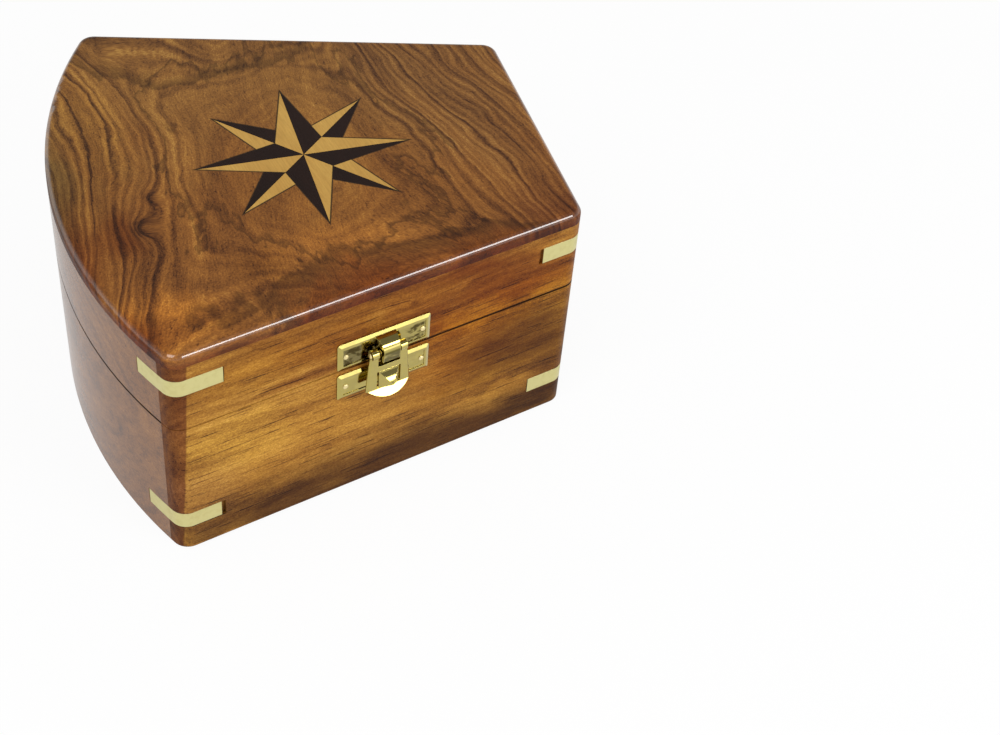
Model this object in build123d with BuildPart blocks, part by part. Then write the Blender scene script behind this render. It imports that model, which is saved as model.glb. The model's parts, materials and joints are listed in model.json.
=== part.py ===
"""A keystone-shaped hardwood instrument case with a hinged lid and a swing-hasp latch.

Millimetres and degrees.  The case stands on Z = 0 with the middle of its footprint at the
origin.  It is symmetric about the X axis: the bowed wide end is at -X, the straight narrow
end at +X, the latch on the slanted front wall (-Y) and the hinges on the back wall (+Y).
"""
from build123d import *
from math import cos, radians, sin, tan
import os

os.makedirs("parts", exist_ok=True)

# Case outline, seen from above
side_run = 142.0  # length of the front and back walls before their corners are rounded
wide_chord = 166.1  # corner to corner across the wide end
taper = 14.65  # angle between each side wall and the X axis
bow = 22.6  # how far the wide end bows out past its chord
corner_radius = 5.5  # rounding of the four upright edges

# Case heights and boards
base_height = 54.0  # from the table to the seam
lid_height = 30.0  # from the seam to the top face
wall = 6.0  # thickness of the four walls
floor_board = 5.0
top_board = 5.0
seam_gap = 0.3  # open line between base and lid
top_round = 2.8  # round-over along the top edge
foot_bevel = 1.0  # along the bottom edge

# Felt lining
felt = 1.5
felt_ease = 0.3  # felt stays this far from the boards

# Brass corner straps let flush into the walls
strap_thick = 1.0
strap_height = 6.0
strap_fit = 0.05  # all round the strap in its recess
lid_strap_level = 14.0  # underside of a lid strap, above the seam
base_strap_level = 10.6  # underside of a base strap, above the table
end_leg = 16.0  # leg of a strap on an end wall
lid_wide_leg = 16.4  # legs on the side walls, cut by hand to slightly different lengths
lid_narrow_leg = 14.3
base_wide_leg = 13.7
base_narrow_leg = 14.6
short_slot = 0.3  # recess left open past the end of a strap
long_slot = 1.4

# Compass-star inlay
star_centre = 1.1  # along the X axis
star_radius = 35.0
waist_radius = 10.9  # of the corners between two main rays
star_depth = 0.8
inlay_joint = 0.03

# Latch plates, pins and catch
latch_shift = -0.7  # latch centre from the middle of the front wall
plate_width = 32.6
upper_plate_height = 10.6
lower_plate_height = 10.2
plate_space = 2.2  # between the two plates
plate_above_seam = 0.6  # lower edge of the upper plate over the seam
plate_edge = 0.35  # square edge of a plate
plate_bevel_rise = 0.55
plate_bevel_run = 1.1
plate_corner = 0.8
field_sink = 0.25
field_margin = 0.7  # rim left between the bevel and the sunk field
pin_inset = 2.8  # plate pins, from the ends of the plate
pin_head = 0.95
pin_crown = 0.5  # radius of the flat top of a pin's head
pin_head_height = 0.5
pin_shank = 1.0  # side of the square shank
pin_length = 5.0
pin_fit = 0.05

# Catch on the lower plate: a low four-sided pyramid
catch_reach = 2.45  # nose in front of the wall
catch_half_width = 3.2
catch_drop = 1.4  # upper edge below the upper edge of the plate
catch_height = 6.0
nose_drop = 4.6  # nose below the upper edge of the catch
nose_half_width = 0.6
nose_height = 0.7

# Hood on the upper plate
hood_width = 7.4  # at the wall
hood_front_width = 5.7
hood_reach = 5.6
hood_sheet = 0.8
hood_top_drop = 1.0  # under the upper edge of the plate
hood_height = 7.8
hood_shoulder_radius = 4.4  # where the hood turns down
hood_lip_setback = 0.5  # the lower lip of the hood lies back by this much

# Hasp: a bevelled frame that swings from a pin through the hood
hinge_out = 2.85  # hasp pivot in front of the wall
hinge_up = 4.3  # hasp pivot above the lower edge of the upper plate
hasp_pin = 0.65
hasp_pin_fit = 0.06
eye_radius = 1.7
eye_width = 2.2
side_ease = 0.15  # between hood and hasp eyes
button_radius = 1.0
button_length = 0.6
button_bevel = 0.35
hasp_sheet = 1.0
hasp_edge = 0.4  # square edge of the frame
hasp_bevel_run = 0.55
window_bevel_run = 0.35
hasp_ease = 0.35  # hasp in front of the catch
hasp_drop = 14.7  # from the pivot to the fold of the finger lip
hasp_shoulder_half_width = 6.7
hasp_shoulder_drop = 2.2  # shoulders of the arms, below the pivot
hasp_foot_half_width = 7.8
head_bar_drop = 5.0  # upper edge of the bar under the hood, below the pivot
head_bar_height = 2.6
foot_bar_height = 0.7  # above the fold
lip_half_width = 7.3
lip_sag = 3.4  # depth of the crescent lip
lip_tilt = 40.0  # from the wall

# Beak pressed out of the hasp's sheet over the catch: a four-sided pyramid
beak_half_width = 3.5
beak_overlap = 0.3  # into the bars above and below it
beak_reach = 2.9  # tip in front of the hasp's face
beak_tip_drop = 4.1  # below the upper edge of the beak
beak_tip = 0.5  # size of the flattened tip
beak_skin = 0.75
beak_hollow_reach = 1.6  # hollow in front of the hasp's back

# Butt hinges let into the back edge, which is bevelled so that the lid stops when open
hinge_length = 25.0
hinge_spacing = 76.0
barrel_radius = 1.4
barrel_inset = 1.6  # hinge line inside the back face
hinge_bevel = 50.0  # each back edge falls away by this angle from the hinge line
leaf_thick = 1.0
leaf_depth = 4.1
knuckle_gap = 0.2
lid_knuckle = 9.0
hinge_pin = 0.6
hinge_pin_fit = 0.05
barrel_ease = 0.15  # leaf to the other leaf's knuckles
mortise_ease = 0.15
barrel_room = 0.3  # wood to barrel

# Places worked out from the driving dimensions
case_height = base_height + lid_height
reach_x = side_run * cos(radians(taper)) + bow
chord_x = bow - reach_x / 2
narrow_x = reach_x / 2
wide_half = wide_chord / 2
narrow_half = wide_half - side_run * sin(radians(taper))
base_rim = base_height - seam_gap / 2
lid_rim = base_height + seam_gap / 2
lid_shell_top = case_height - top_board
middle = Vector((chord_x + narrow_x) / 2, (wide_half + narrow_half) / 2)

front_along = Vector(cos(radians(taper)), sin(radians(taper)), 0)
front_out = Vector(sin(radians(taper)), -cos(radians(taper)), 0)
front_middle = Vector(middle.X, -middle.Y, 0)
back_along = Vector(-cos(radians(taper)), sin(radians(taper)), 0)
back_out = Vector(sin(radians(taper)), cos(radians(taper)), 0)
back_middle = Vector(middle.X, middle.Y, 0)

# Local x runs along the wall to the right of someone facing it, local y runs up.
front_face = Plane(origin=front_middle, x_dir=front_along, z_dir=front_out)

# The latch, as heights above the table
latch_up = base_height + plate_above_seam
upper_plate_top = latch_up + upper_plate_height
lower_plate_top = latch_up - plate_space
plate_thick = plate_edge + plate_bevel_rise
hasp_pivot_up = latch_up + hinge_up
pin_half_spacing = plate_width / 2 - pin_inset
latch_middle = front_middle + front_along * latch_shift

# The hinge line runs along the back wall, inside its face and at the height of the seam.
hinge_line = back_middle - back_out * barrel_inset + Vector(0, 0, base_height)


def hinge_section(at):
    """Plane across the hinge line: local x runs into the case, local y runs up."""
    return Plane(origin=hinge_line + back_along * at, x_dir=-back_out, z_dir=back_along)


def latch_section(at):
    """Plane across the latch: local x runs out from the front wall, local y runs up."""
    origin = front_middle + front_along * (latch_shift + at)
    return Plane(origin=origin, x_dir=front_out, z_dir=-front_along)


# Outline of the case, with sharp corners, with rounded corners and inside the walls
with BuildSketch() as sharp_outline:
    with BuildLine():
        ThreePointArc((chord_x, wide_half), (-reach_x / 2, 0), (chord_x, -wide_half))
        Polyline(
            (chord_x, -wide_half), (narrow_x, -narrow_half),
            (narrow_x, narrow_half), (chord_x, wide_half),
        )
    make_face()

with BuildSketch() as outline:
    add(sharp_outline.sketch)
    fillet(outline.vertices(), corner_radius)

with BuildSketch() as inside:
    offset(sharp_outline.sketch, amount=-wall, kind=Kind.INTERSECTION)

with BuildSketch() as felt_outline:
    offset(sharp_outline.sketch, amount=-wall - felt_ease, kind=Kind.INTERSECTION)

# The front and back boards run the full width of the case.
with BuildSketch() as front_strip:
    with Locations(Location(front_middle - front_out * wall / 2, (0, 0, taper))):
        Rectangle(2 * side_run, wall)

with BuildSketch() as back_strip:
    with Locations(Location(back_middle - back_out * wall / 2, (0, 0, -taper))):
        Rectangle(2 * side_run, wall)

# The end walls fill the rest of the rim, one on each side of the middle.
with BuildSketch() as wide_end_zone:
    with Locations((middle.X - reach_x, 0)):
        Rectangle(2 * reach_x, 2 * wide_chord)
    add(front_strip.sketch, mode=Mode.SUBTRACT)
    add(back_strip.sketch, mode=Mode.SUBTRACT)

with BuildSketch() as narrow_end_zone:
    with Locations((middle.X + reach_x, 0)):
        Rectangle(2 * reach_x, 2 * wide_chord)
    add(front_strip.sketch, mode=Mode.SUBTRACT)
    add(back_strip.sketch, mode=Mode.SUBTRACT)

wall_zones = {
    "front_wall": front_strip.sketch,
    "back_wall": back_strip.sketch,
    "wide_end_wall": wide_end_zone.sketch,
    "narrow_end_wall": narrow_end_zone.sketch,
}


# Straps: one at each corner of the base and of the lid
def corner_band(end, side, side_leg, leg_on_end, depth):
    """Plan of a band, depth thick, that goes round one corner just inside the outline."""
    x = chord_x if end == "wide" else narrow_x
    y = (wide_half if end == "wide" else narrow_half) * side
    inward = 1 if end == "wide" else -1
    face = Location((x, y), (0, 0, -taper * side))
    with BuildSketch(mode=Mode.PRIVATE) as on_side_wall:
        with Locations(face):
            with Locations((inward * side_leg / 2, -side * depth)):
                Rectangle(side_leg, 4 * depth)
            with Locations((-inward * corner_radius, -side * depth)):
                Rectangle(2 * corner_radius, 4 * depth)
    with BuildSketch(mode=Mode.PRIVATE) as beside_side_wall:
        with Locations((x, y)):
            Circle(leg_on_end)
        with Locations(face):
            with Locations((inward * side_run / 2, -side * depth)):
                Rectangle(side_run, 4 * depth, mode=Mode.SUBTRACT)
    with BuildSketch() as band:
        add(outline.sketch)
        offset(outline.sketch, amount=-depth, mode=Mode.SUBTRACT)
        with BuildSketch(mode=Mode.PRIVATE) as legs:
            add(on_side_wall.sketch)
            add(beside_side_wall.sketch)
        add(legs.sketch, mode=Mode.INTERSECT)
    return band.sketch


lid_strap_up = base_height + lid_strap_level
# name of the strap: end, side, underside, leg on the side wall, slot past that leg
straps = {
    "lid_strap_front_wide": ("wide", -1, lid_strap_up, lid_wide_leg, short_slot),
    "lid_strap_front_narrow": ("narrow", -1, lid_strap_up, lid_narrow_leg, long_slot),
    "lid_strap_back_wide": ("wide", 1, lid_strap_up, lid_wide_leg, short_slot),
    "lid_strap_back_narrow": ("narrow", 1, lid_strap_up, lid_narrow_leg, short_slot),
    "base_strap_front_wide": ("wide", -1, base_strap_level, base_wide_leg, long_slot),
    "base_strap_front_narrow": ("narrow", -1, base_strap_level, base_narrow_leg, short_slot),
    "base_strap_back_wide": ("wide", 1, base_strap_level, base_wide_leg, short_slot),
    "base_strap_back_narrow": ("narrow", 1, base_strap_level, base_narrow_leg, short_slot),
}

for name, (end, side, level, leg, slot) in straps.items():
    with BuildPart() as strap:
        with BuildSketch(Plane.XY.offset(level)):
            add(corner_band(end, side, leg, end_leg, strap_thick))
        extrude(amount=strap_height)
    strap.part.label = name
    export_step(strap.part, f"parts/{name}.step")

with BuildPart() as strap_recesses:
    for end, side, level, leg, slot in straps.values():
        with BuildSketch(Plane.XY.offset(level - strap_fit)):
            add(corner_band(end, side, leg + slot, end_leg + short_slot, strap_thick + strap_fit))
        extrude(amount=strap_height + 2 * strap_fit)

# Holes for the plate pins, run into the front boards
with BuildPart() as pin_holes:
    for pin_up in (latch_up + upper_plate_height / 2, lower_plate_top - lower_plate_height / 2):
        with BuildSketch(front_face):
            for side in (-1, 1):
                with Locations((latch_shift + side * pin_half_spacing, pin_up)):
                    Rectangle(pin_shank + 2 * pin_fit, pin_shank + 2 * pin_fit)
        extrude(amount=-pin_length - pin_fit)

# Everything that the hinges take out of the boards: bevel, barrel groove and mortises
hinge_places = (-hinge_spacing / 2, hinge_spacing / 2)
bevel_run = wall + corner_radius
bevel_rise = bevel_run * tan(radians(hinge_bevel))
with BuildPart() as hinge_cuts:
    with BuildSketch(hinge_section(0)):
        with BuildLine():
            Polyline((0, 0), (-bevel_run, bevel_rise), (-bevel_run, -bevel_rise), close=True)
        make_face()
    extrude(amount=side_run, both=True)
    for place in hinge_places:
        with BuildSketch(hinge_section(place)):
            Circle(barrel_radius + barrel_room)
            with Locations(((leaf_depth + mortise_ease) / 2, 0)):
                Rectangle(leaf_depth + mortise_ease, seam_gap + 2 * leaf_thick)
        extrude(amount=hinge_length / 2 + mortise_ease, both=True)

# The rims of the base and of the lid, each cut into its four boards
with BuildPart() as base_rim_solid:
    with BuildSketch():
        add(outline.sketch)
        add(inside.sketch, mode=Mode.SUBTRACT)
    extrude(amount=base_rim)
    chamfer(base_rim_solid.faces().sort_by(Axis.Z)[0].outer_wire().edges(), foot_bevel)

with BuildPart() as lid_rim_solid:
    with BuildSketch(Plane.XY.offset(lid_rim)):
        add(outline.sketch)
        add(inside.sketch, mode=Mode.SUBTRACT)
    extrude(amount=lid_shell_top - lid_rim)

for level, rim in (("base", base_rim_solid.part), ("lid", lid_rim_solid.part)):
    for place, zone in wall_zones.items():
        with BuildPart() as board:
            add(rim)
            with BuildSketch():
                add(zone)
            extrude(amount=case_height, mode=Mode.INTERSECT)
            add(strap_recesses.part, mode=Mode.SUBTRACT)
            add(hinge_cuts.part, mode=Mode.SUBTRACT)
            if place == "front_wall":
                add(pin_holes.part, mode=Mode.SUBTRACT)
        board.part.label = f"{level}_{place}"
        export_step(board.part, f"parts/{level}_{place}.step")

with BuildPart() as base_floor_board:
    with BuildSketch():
        add(inside.sketch)
    extrude(amount=floor_board)
base_floor_board.part.label = "base_floor_board"
export_step(base_floor_board.part, "parts/base_floor_board.step")

with BuildPart() as floor_lining:
    with BuildSketch(Plane.XY.offset(floor_board + felt_ease)):
        add(felt_outline.sketch)
    extrude(amount=felt)
floor_lining.part.label = "floor_lining"
export_step(floor_lining.part, "parts/floor_lining.step")

with BuildPart() as lid_lining:
    with BuildSketch(Plane.XY.offset(lid_shell_top - felt_ease)):
        add(felt_outline.sketch)
    extrude(amount=-felt)
lid_lining.part.label = "lid_lining"
export_step(lid_lining.part, "parts/lid_lining.step")


# Compass star: four main rays over four rays between them, each split along its length
def polar(radius, angle):
    return (star_centre + radius * cos(radians(angle)), radius * sin(radians(angle)))


# Where the edge of a main ray meets the edge of the ray beside it, 22.5 degrees round
waist_x = waist_radius * cos(radians(45))
slope = tan(radians(22.5))
along_edge = slope * star_radius / (waist_x - slope * (waist_x - star_radius))
notch_radius = along_edge * waist_x / sin(radians(22.5))

light_pieces = []
dark_pieces = []
for angle in (0, 90, 180, 270):
    light_pieces.append((polar(0, 0), polar(star_radius, angle), polar(waist_radius, angle + 45)))
    dark_pieces.append((polar(0, 0), polar(waist_radius, angle - 45), polar(star_radius, angle)))
    between = angle + 45
    corner = polar(waist_radius, between)
    tip = polar(star_radius, between)
    light_pieces.append((corner, tip, polar(notch_radius, between + 22.5)))
    dark_pieces.append((corner, polar(notch_radius, between - 22.5), tip))

with BuildPart() as lid_top_board:
    with BuildSketch(Plane.XY.offset(lid_shell_top)):
        add(outline.sketch)
    extrude(amount=top_board)
    fillet(lid_top_board.edges().group_by(Axis.Z)[-1], top_round)
    with BuildSketch(Plane.XY.offset(case_height)):
        with BuildLine():
            star_rim = []
            for step in range(8):
                star_rim.append(polar(star_radius, 45 * step))
                star_rim.append(polar(notch_radius, 45 * step + 22.5))
            Polyline(*star_rim, close=True)
        make_face()
    extrude(amount=-star_depth, mode=Mode.SUBTRACT)
lid_top_board.part.label = "lid_top_board"
export_step(lid_top_board.part, "parts/lid_top_board.step")

for name, pieces in (("star_light_inlay", light_pieces), ("star_dark_inlay", dark_pieces)):
    with BuildPart() as inlay:
        for corners in pieces:
            with BuildSketch(Plane.XY.offset(case_height)):
                with BuildLine():
                    Polyline(*corners, close=True)
                make_face()
                offset(amount=-inlay_joint, kind=Kind.INTERSECTION, mode=Mode.REPLACE)
            extrude(amount=-star_depth)
    inlay.part.label = name
    export_step(inlay.part, f"parts/{name}.step")


# Latch plates: bevelled rims round a slightly sunk field, with two pin holes
def plate_blank(bottom, height):
    """A latch plate without its hood or catch, from its lower edge up."""
    centre = (latch_shift, bottom + height / 2)
    rim_width = plate_width - 2 * plate_bevel_run
    rim_height = height - 2 * plate_bevel_run
    with BuildPart() as plate:
        with BuildSketch(front_face):
            with Locations(centre):
                Rectangle(plate_width, height)
        extrude(amount=plate_edge)
        with BuildSketch(front_face.offset(plate_edge)):
            with Locations(centre):
                Rectangle(plate_width, height)
        with BuildSketch(front_face.offset(plate_thick)):
            with Locations(centre):
                Rectangle(rim_width, rim_height)
        loft()
        with BuildSketch(front_face):
            with Locations(centre):
                RectangleRounded(plate_width, height, plate_corner)
        extrude(amount=plate_thick, mode=Mode.INTERSECT)
        with BuildSketch(front_face.offset(plate_thick)):
            with Locations(centre):
                Rectangle(rim_width - 2 * field_margin, rim_height - 2 * field_margin)
        extrude(amount=-field_sink, mode=Mode.SUBTRACT)
        with BuildSketch(front_face):
            for side in (-1, 1):
                with Locations((latch_shift + side * pin_half_spacing, bottom + height / 2)):
                    Rectangle(pin_shank + 2 * pin_fit, pin_shank + 2 * pin_fit)
        extrude(amount=plate_thick, mode=Mode.SUBTRACT)
    return plate.part


hood_top = upper_plate_top - hood_top_drop
hood_bottom = hood_top - hood_height


def hood_body(back, sheet, bottom):
    """The hood's outer shape drawn in by sheet, from back outwards and down to bottom."""
    reach = hood_reach - sheet
    top = hood_top - sheet
    turn = hood_shoulder_radius - sheet
    root_half = hood_width / 2 - sheet
    front_half = hood_front_width / 2 - sheet
    with BuildPart() as body:
        with BuildSketch(latch_section(0)):
            with BuildLine():
                Polyline(
                    (reach - hood_lip_setback, bottom), (back, bottom), (back, top), (reach - turn, top),
                )
                JernArc(start=(reach - turn, top), tangent=(1, 0), radius=turn, arc_size=-90)
                Line((reach, top - turn), (reach - hood_lip_setback, bottom))
            make_face()
        extrude(amount=root_half, both=True)
        with BuildSketch(Plane(origin=latch_middle, x_dir=front_along, z_dir=(0, 0, 1))):
            with BuildLine():
                Polyline(
                    (-root_half, 0), (-front_half, -reach), (front_half, -reach), (root_half, 0),
                    close=True,
                )
            make_face()
        extrude(amount=case_height, mode=Mode.INTERSECT)
    return body.part


with BuildPart() as latch_upper_plate:
    add(plate_blank(latch_up, upper_plate_height))
    add(hood_body(plate_edge, 0, hood_bottom))
    add(hood_body(plate_thick - field_sink, hood_sheet, latch_up - plate_space), mode=Mode.SUBTRACT)
    with BuildSketch(latch_section(0)):
        with Locations((hinge_out, hasp_pivot_up)):
            Circle(hasp_pin + hasp_pin_fit)
    extrude(amount=hood_width, both=True, mode=Mode.SUBTRACT)
latch_upper_plate.part.label = "latch_upper_plate"
export_step(latch_upper_plate.part, "parts/latch_upper_plate.step")

def pyramid(*levels):
    """Four-sided pyramid on the latch's middle: stand-off, half width, upper edge and height."""
    with BuildPart() as body:
        for out, half, top, height in levels:
            with BuildSketch(front_face.offset(out)):
                with Locations((latch_shift, top - height / 2)):
                    Rectangle(2 * half, height)
        loft(ruled=True)
    return body.part


catch_top = lower_plate_top - catch_drop
with BuildPart() as latch_lower_plate:
    add(plate_blank(lower_plate_top - lower_plate_height, lower_plate_height))
    add(pyramid(
        (plate_edge, catch_half_width, catch_top, catch_height),
        (catch_reach, nose_half_width, catch_top - nose_drop, nose_height),
    ))
latch_lower_plate.part.label = "latch_lower_plate"
export_step(latch_lower_plate.part, "parts/latch_lower_plate.step")

# Tacks that hold the plates on: a bevelled round head on a square shank
field_out = plate_thick - field_sink
for name, pin_up in (
    ("latch_upper_plate_pins", latch_up + upper_plate_height / 2),
    ("latch_lower_plate_pins", lower_plate_top - lower_plate_height / 2),
):
    with BuildPart() as pins:
        for side in (-1, 1):
            place = (latch_shift + side * pin_half_spacing, pin_up)
            with BuildSketch(front_face.offset(-pin_length)):
                with Locations(place):
                    Rectangle(pin_shank, pin_shank)
            extrude(amount=pin_length + field_out)
            for out, radius in ((field_out, pin_head), (field_out + pin_head_height, pin_crown)):
                with BuildSketch(front_face.offset(out)):
                    with Locations(place):
                        Circle(radius)
            loft()
    pins.part.label = name
    export_step(pins.part, f"parts/{name}.step")

# Hinge pin of the hasp, with a button at each end
pin_half_length = hood_width / 2 + 2 * side_ease + eye_width
with BuildPart() as latch_hinge_pin:
    with BuildSketch(latch_section(0)):
        with Locations((hinge_out, hasp_pivot_up)):
            Circle(hasp_pin)
    extrude(amount=pin_half_length, both=True)
    for side in (-1, 1):
        with BuildSketch(latch_section(side * pin_half_length)):
            with Locations((hinge_out, hasp_pivot_up)):
                Circle(button_radius)
        extrude(amount=-side * button_length)
    ends = latch_hinge_pin.faces().sort_by(Axis(front_middle, front_along))
    chamfer(ends[0].edges() + ends[-1].edges(), button_bevel)
latch_hinge_pin.part.label = "latch_hinge_pin"
export_step(latch_hinge_pin.part, "parts/latch_hinge_pin.step")

# Hasp: a tapering frame round the catch, with a crescent lip for the finger
hasp_out = catch_reach + hasp_ease
hasp_front = hasp_out + hasp_sheet
fold_up = hasp_pivot_up - hasp_drop
arm_inside = hood_width / 2 + side_ease
arm_outside = arm_inside + eye_width
head_bar_top = hasp_pivot_up - head_bar_drop
window_top = head_bar_top - head_bar_height
window_bottom = fold_up + foot_bar_height
window_middle = (latch_shift, (window_top + window_bottom) / 2)
window_height = window_top - window_bottom
beak_top = window_top + beak_overlap
beak_height = window_height + 2 * beak_overlap
tip_top = beak_top - beak_tip_drop


def hasp_outline(inset):
    """Front view of the frame without its window, drawn in by inset along both arms."""
    top = arm_outside - inset
    shoulder = hasp_shoulder_half_width - inset
    shoulder_up = hasp_pivot_up - hasp_shoulder_drop
    foot = hasp_foot_half_width - inset
    with BuildSketch(mode=Mode.PRIVATE) as frame:
        with BuildLine():
            Polyline(
                (latch_shift - top, hasp_pivot_up), (latch_shift - shoulder, shoulder_up),
                (latch_shift - foot, fold_up), (latch_shift + foot, fold_up),
                (latch_shift + shoulder, shoulder_up), (latch_shift + top, hasp_pivot_up), close=True,
            )
        make_face()
    return frame.sketch


with BuildPart() as latch_hasp:
    with BuildSketch(front_face.offset(hasp_out)):
        add(hasp_outline(0))
    extrude(amount=hasp_edge)
    with BuildSketch(front_face.offset(hasp_out + hasp_edge)):
        add(hasp_outline(0))
    with BuildSketch(front_face.offset(hasp_front)):
        add(hasp_outline(hasp_bevel_run))
    loft()
    with BuildSketch(front_face):
        with Locations(window_middle):
            Rectangle(2 * arm_inside, window_height)
        with Locations((latch_shift, (head_bar_top + case_height) / 2)):
            Rectangle(2 * arm_inside, case_height - head_bar_top)
    extrude(amount=hasp_front, mode=Mode.SUBTRACT)
    for out, grow in ((hasp_out + hasp_edge, 0), (hasp_front, 2 * window_bevel_run)):
        with BuildSketch(front_face.offset(out)):
            with Locations(window_middle):
                Rectangle(2 * arm_inside + grow, window_height + grow)
    loft(mode=Mode.SUBTRACT)
    add(pyramid(
        (hasp_out, beak_half_width, beak_top, beak_height),
        (hasp_front, beak_half_width, beak_top, beak_height),
        (hasp_front + beak_reach, beak_tip / 2, tip_top, beak_tip),
    ))
    add(pyramid(
        (hasp_out, beak_half_width - beak_skin, beak_top - beak_skin, beak_height - 2 * beak_skin),
        (hasp_out + beak_hollow_reach, beak_tip / 2, tip_top, beak_tip),
    ), mode=Mode.SUBTRACT)
    for side in (-1, 1):
        with BuildSketch(latch_section(side * arm_inside)):
            with Locations((hinge_out, hasp_pivot_up)):
                Circle(eye_radius)
        extrude(amount=-side * eye_width)
        with BuildSketch(latch_section(side * arm_outside)):
            with Locations((hinge_out, hasp_pivot_up)):
                Circle(button_radius + side_ease)
        extrude(amount=-side * (button_length + side_ease), mode=Mode.SUBTRACT)
    fold = latch_middle + front_out * (hasp_out + hasp_sheet / 2) + Vector(0, 0, fold_up)
    lean = Vector(0, 0, sin(radians(lip_tilt))) + front_out * cos(radians(lip_tilt))
    with BuildSketch(Plane(origin=fold, x_dir=front_along, z_dir=lean)):
        with BuildLine():
            ThreePointArc((-lip_half_width, 0), (0, -lip_sag), (lip_half_width, 0))
            Line((lip_half_width, 0), (-lip_half_width, 0))
        make_face()
    extrude(amount=hasp_sheet / 2, both=True)
    with BuildSketch(Plane(origin=fold, x_dir=front_out, z_dir=front_along)):
        Circle(hasp_sheet / 2)
    extrude(amount=lip_half_width, both=True)
    with BuildSketch(latch_section(0)):
        with Locations((hinge_out, hasp_pivot_up)):
            Circle(hasp_pin + hasp_pin_fit)
    extrude(amount=hood_width, both=True, mode=Mode.SUBTRACT)
latch_hasp.part.label = "latch_hasp"
export_step(latch_hasp.part, "parts/latch_hasp.step")

# Butt hinges: the base leaf has the outer knuckles, the lid leaf the middle one
base_knuckle_start = lid_knuckle / 2 + knuckle_gap
base_knuckle = hinge_length / 2 - base_knuckle_start
for end, place in zip(("narrow", "wide"), hinge_places):
    with BuildPart() as base_leaf:
        with BuildSketch(hinge_section(place)):
            with Locations((leaf_depth / 2, -(seam_gap + leaf_thick) / 2)):
                Rectangle(leaf_depth, leaf_thick)
        extrude(amount=hinge_length / 2, both=True)
        with BuildSketch(hinge_section(place)):
            Circle(barrel_radius + barrel_ease)
        extrude(amount=base_knuckle_start, both=True, mode=Mode.SUBTRACT)
        for side in (-1, 1):
            with BuildSketch(hinge_section(place + side * base_knuckle_start)):
                Circle(barrel_radius)
            extrude(amount=side * base_knuckle)
        with BuildSketch(hinge_section(place)):
            Circle(hinge_pin + hinge_pin_fit)
        extrude(amount=hinge_length, both=True, mode=Mode.SUBTRACT)
    base_leaf.part.label = f"hinge_base_leaf_{end}_side"
    export_step(base_leaf.part, f"parts/hinge_base_leaf_{end}_side.step")

    with BuildPart() as lid_leaf:
        with BuildSketch(hinge_section(place)):
            with Locations((leaf_depth / 2, (seam_gap + leaf_thick) / 2)):
                Rectangle(leaf_depth, leaf_thick)
        extrude(amount=hinge_length / 2, both=True)
        for side in (-1, 1):
            with BuildSketch(hinge_section(place + side * lid_knuckle / 2)):
                Circle(barrel_radius + barrel_ease)
            extrude(amount=side * hinge_length, mode=Mode.SUBTRACT)
        with BuildSketch(hinge_section(place)):
            Circle(barrel_radius)
        extrude(amount=lid_knuckle / 2, both=True)
        with BuildSketch(hinge_section(place)):
            Circle(hinge_pin + hinge_pin_fit)
        extrude(amount=hinge_length, both=True, mode=Mode.SUBTRACT)
    lid_leaf.part.label = f"hinge_lid_leaf_{end}_side"
    export_step(lid_leaf.part, f"parts/hinge_lid_leaf_{end}_side.step")

    with BuildPart() as pin:
        with BuildSketch(hinge_section(place)):
            Circle(hinge_pin)
        extrude(amount=hinge_length / 2, both=True)
    pin.part.label = f"hinge_pin_{end}_side"
    export_step(pin.part, f"parts/hinge_pin_{end}_side.step")
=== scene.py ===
"""Looks of a keystone-shaped hardwood case: lacquered boards, star inlay, brass fittings and felt.

Lengths are in metres unless a name or a comment says mm.  The latch wall faces -Y, the bowed
wide end is at -X and the hinges are on the back wall.
"""
import json
from math import cos, pi, radians, sin, sqrt, tan

import bmesh
import bpy
import numpy as np
from mathutils import Matrix, Vector


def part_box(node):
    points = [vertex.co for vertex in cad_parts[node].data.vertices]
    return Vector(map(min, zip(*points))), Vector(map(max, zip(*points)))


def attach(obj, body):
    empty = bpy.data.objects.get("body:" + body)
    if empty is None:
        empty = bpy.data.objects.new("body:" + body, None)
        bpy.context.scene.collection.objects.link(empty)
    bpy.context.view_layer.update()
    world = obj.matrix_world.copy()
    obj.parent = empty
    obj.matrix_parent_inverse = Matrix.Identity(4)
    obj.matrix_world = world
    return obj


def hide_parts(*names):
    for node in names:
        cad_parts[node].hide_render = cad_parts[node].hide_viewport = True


bl_info = {
    "name": "Keystone instrument case",
    "version": (1, 0, 0),
    "blender": (4, 5, 0),
    "location": "View3D > Sidebar > Case",
    "description": "Finishes, felt, pins and screws of a keystone-shaped instrument case",
    "category": "Object",
}

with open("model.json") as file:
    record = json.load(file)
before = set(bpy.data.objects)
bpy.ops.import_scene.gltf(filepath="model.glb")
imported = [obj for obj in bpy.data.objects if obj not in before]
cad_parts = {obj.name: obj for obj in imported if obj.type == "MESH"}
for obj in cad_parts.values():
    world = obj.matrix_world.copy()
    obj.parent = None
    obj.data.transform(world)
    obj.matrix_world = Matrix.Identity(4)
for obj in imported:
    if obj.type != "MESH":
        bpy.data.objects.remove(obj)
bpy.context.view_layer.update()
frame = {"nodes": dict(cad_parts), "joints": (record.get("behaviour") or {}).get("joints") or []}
MM = 0.001
WHITE = (1.0, 1.0, 1.0)

# The slanted front wall and its latch, read from the joint of the hasp
HASP = next(joint for joint in frame["joints"] if joint["name"] == "hasp_swing")
LID = next(joint for joint in frame["joints"] if joint["name"] == "lid_hinge")
PIVOT = np.array(HASP["pos_m"])
ALONG = -np.array(HASP["axis"])
OUT = np.array((ALONG[1], -ALONG[0], 0.0))
UP = np.array((0.0, 0.0, 1.0))
TAPER = float(np.arctan2(ALONG[1], ALONG[0]))

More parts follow.
